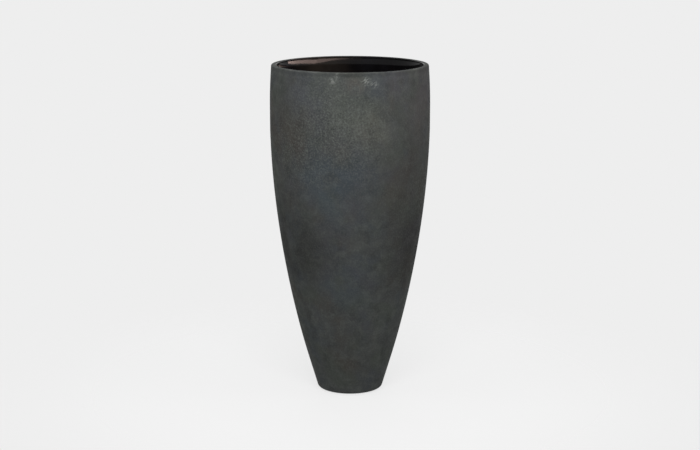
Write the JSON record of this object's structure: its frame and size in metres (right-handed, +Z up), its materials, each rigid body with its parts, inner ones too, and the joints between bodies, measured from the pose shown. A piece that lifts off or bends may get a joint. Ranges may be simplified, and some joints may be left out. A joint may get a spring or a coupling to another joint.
{
  "type": "tall floor planter",
  "caption": "Tall round fibreglass floor planter with a narrow ballasted foot, a full belly, a rounded lip, a lift-out liner and a drain.",
  "frame": {"origin": "centre of the foot, on the floor plane under the rubber pads", "axes": "+Z up along the axis of the pot; X and Y are equal, with the liner's hand slots on the X sides"},
  "size_m": [0.432, 0.432, 0.9],
  "materials": {
    "shell": "satin",
    "collar": "gloss",
    "core": "matte",
    "laminate": "matte",
    "concrete": "matte",
    "pvc": "satin",
    "rubber": "matte",
    "liner": "satin"
  },
  "bodies": {
    "pot": {"outer_shell": "shell", "inner_collar": "collar", "rim_core_ring": "core", "base_plate": "laminate", "foot_ballast": "concrete", "drain_connector": "pvc", "drain_washer": "rubber", "drain_backnut": "pvc", "foot_pad_1": "rubber", "foot_pad_2": "rubber", "foot_pad_3": "rubber", "foot_pad_4": "rubber"},
    "liner": {"liner": "liner"},
    "plug": {"liner_plug": "rubber"}
  },
  "joints": [
    {"name": "liner_lift", "type": "slide", "parent": "pot", "child": "liner", "axis": [0, 0, 1], "range_m": [0, 0.44]},
    {"name": "plug_pull", "type": "slide", "parent": "liner", "child": "plug", "axis": [0, 0, 1], "range_m": [0, 0.44]}
  ]
}
